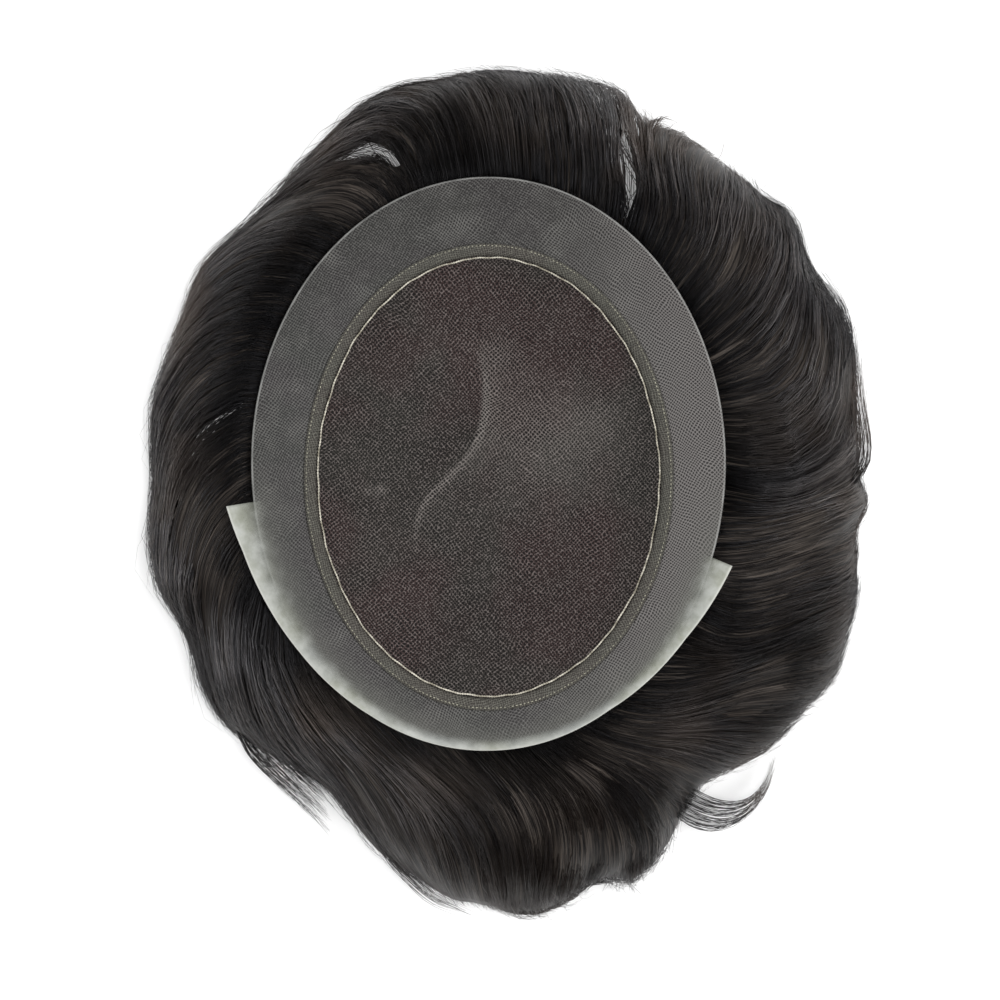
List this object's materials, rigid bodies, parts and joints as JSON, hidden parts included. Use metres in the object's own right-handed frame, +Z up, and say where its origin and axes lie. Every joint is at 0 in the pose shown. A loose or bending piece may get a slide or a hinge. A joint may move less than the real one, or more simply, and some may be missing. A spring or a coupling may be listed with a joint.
{
  "type": "toupee hairpiece",
  "caption": "Toupee lying on its own short wavy hair, its oval cup of net open upwards, with a net border, a taped seam and a clear skin along the forehead.",
  "frame": {"origin": "on the ground, under the middle of the whole hairpiece's box", "axes": "+Z up, +Y towards the back of the head, which is the longest extent, -Y the forehead with the clear skin"},
  "size_m": [0.292, 0.3376, 0.0596],
  "materials": {
    "crown_net": "fine dark mauve-brown knitted net with tiny pale holes in rows",
    "net_border": "grey sheer net, matte",
    "seam_tape": "grey-brown folded net tape, stitched",
    "edge_cord": "cream thread",
    "front_skin": "thin clear skin over net, pale grey-green, half matte",
    "hair": "off-black hair with a soft brown sheen along the waves"
  },
  "bodies": {
    "root": {"crown_net": "crown_net", "net_border": "net_border", "seam_tape": "seam_tape", "edge_cord": "edge_cord", "front_skin": "front_skin", "hair": "hair"}
  },
  "joints": []
}
